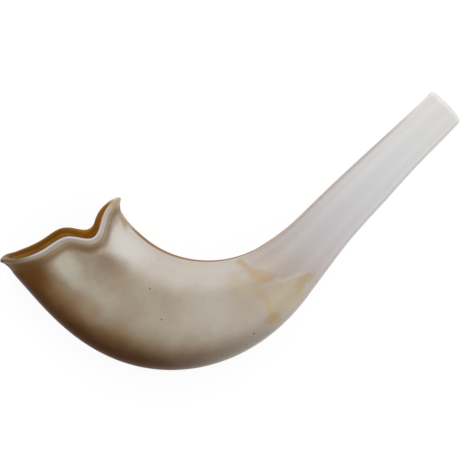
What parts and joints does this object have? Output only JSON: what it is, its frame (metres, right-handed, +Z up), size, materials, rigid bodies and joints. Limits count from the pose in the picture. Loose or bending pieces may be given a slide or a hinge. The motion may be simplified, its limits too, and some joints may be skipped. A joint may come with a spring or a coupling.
{
  "type": "shofar",
  "caption": "Curved ram's-horn wind instrument: drilled straight stem with mouth cup, hollow two-layer bend and a flared, notched bell with a rolled lip.",
  "frame": {"origin": "centre of the footprint on the surface that the horn lies on", "axes": "+X from the bell towards the mouth end along the longest side, +Y from the bend towards the open side of the curve, +Z up, square to the plane of the curve"},
  "size_m": [0.2533, 0.1539, 0.044],
  "materials": {
    "horn_white": "polished keratin",
    "horn_pale": "polished keratin",
    "horn_mottled": "polished keratin, mottled",
    "horn_amber": "satin keratin",
    "horn_lip": "polished keratin"
  },
  "bodies": {
    "root": {"mouthpiece": "horn_white", "stem": "horn_pale", "outer_layer": "horn_mottled", "inner_layer": "horn_amber", "bell_lip": "horn_lip"}
  },
  "joints": []
}
